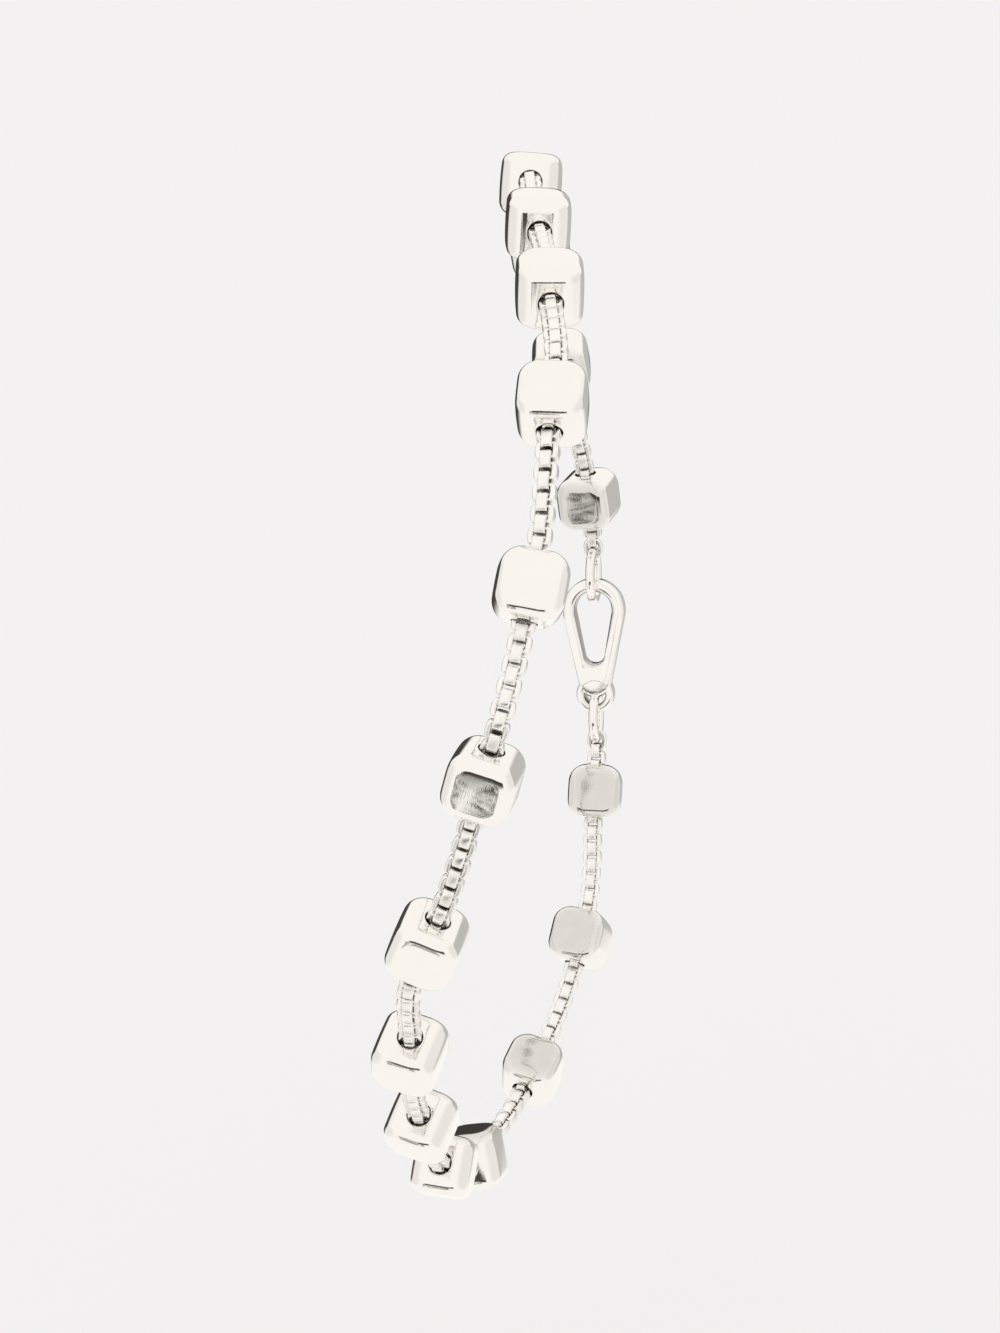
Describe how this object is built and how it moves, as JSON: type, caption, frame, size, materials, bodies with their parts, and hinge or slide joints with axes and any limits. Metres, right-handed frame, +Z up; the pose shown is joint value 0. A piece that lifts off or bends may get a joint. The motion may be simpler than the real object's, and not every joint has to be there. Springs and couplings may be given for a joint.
{
  "type": "cube chain bracelet",
  "caption": "Chain bracelet of rounded cube beads at even spacing on a fine box chain with a claw clasp, as a loop in the form it keeps on a wrist.",
  "frame": {"origin": "the inner side of the topmost bead, where the loop sits on top of the wrist", "axes": "+X along the wrist towards the hand, +Y from the near side of the wrist to its far side, +Z up"},
  "size_m": [0.018, 0.065, 0.072],
  "materials": {
    "bead_silver": "polished silver",
    "chain_silver": "polished silver",
    "clasp_silver": "polished silver"
  },
  "bodies": {
    "root": {"chain": "chain_silver", "cube_01": "bead_silver", "cube_02": "bead_silver", "cube_03": "bead_silver", "cube_04": "bead_silver", "cube_05": "bead_silver", "cube_06": "bead_silver", "cube_07": "bead_silver", "cube_08": "bead_silver", "cube_09": "bead_silver", "cube_10": "bead_silver", "cube_11": "bead_silver", "cube_12": "bead_silver", "cube_13": "bead_silver", "cube_14": "bead_silver", "cube_15": "bead_silver", "cube_16": "bead_silver", "cube_17": "bead_silver", "clasp": "clasp_silver", "tail_ring": "clasp_silver", "catch_ring": "clasp_silver"}
  },
  "joints": []
}
